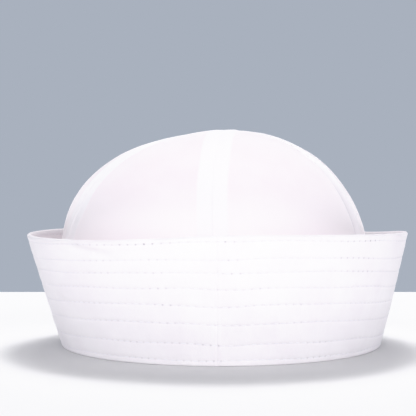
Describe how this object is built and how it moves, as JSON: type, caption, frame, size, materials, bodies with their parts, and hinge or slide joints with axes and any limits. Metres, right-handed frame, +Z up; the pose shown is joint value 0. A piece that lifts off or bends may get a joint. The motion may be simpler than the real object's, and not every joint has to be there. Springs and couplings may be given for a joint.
{
  "type": "sailor cap",
  "caption": "Soft cloth cap with a domed crown sewn from gores, inside a stiff brim that is turned up all round and quilted with rows of stitches.",
  "frame": {"origin": "on the surface that the cap rests on, under the middle of its outline seen from above", "axes": "+Z up, -Y towards the front, where the crown's long seam and the brim's join are seen, +X to the right as seen from the front"},
  "size_m": [0.2234, 0.232, 0.1262],
  "materials": {
    "crown_cotton": "matt white cotton twill, faintly pink",
    "seam_cotton": "matt white cotton twill, two plies pressed open",
    "brim_cotton": "matt white cotton twill, stiffened and stitched in rows"
  },
  "bodies": {
    "root": {"crown_gore_front_right": "crown_cotton", "crown_gore_right": "crown_cotton", "crown_gore_back_right": "crown_cotton", "crown_gore_back_left": "crown_cotton", "crown_gore_left": "crown_cotton", "crown_gore_front_left": "crown_cotton", "crown_seam_band_long": "seam_cotton", "crown_seam_band_front_right": "seam_cotton", "crown_seam_band_back_right": "seam_cotton", "crown_seam_band_back_left": "seam_cotton", "crown_seam_band_front_left": "seam_cotton", "brim": "brim_cotton"}
  },
  "joints": []
}
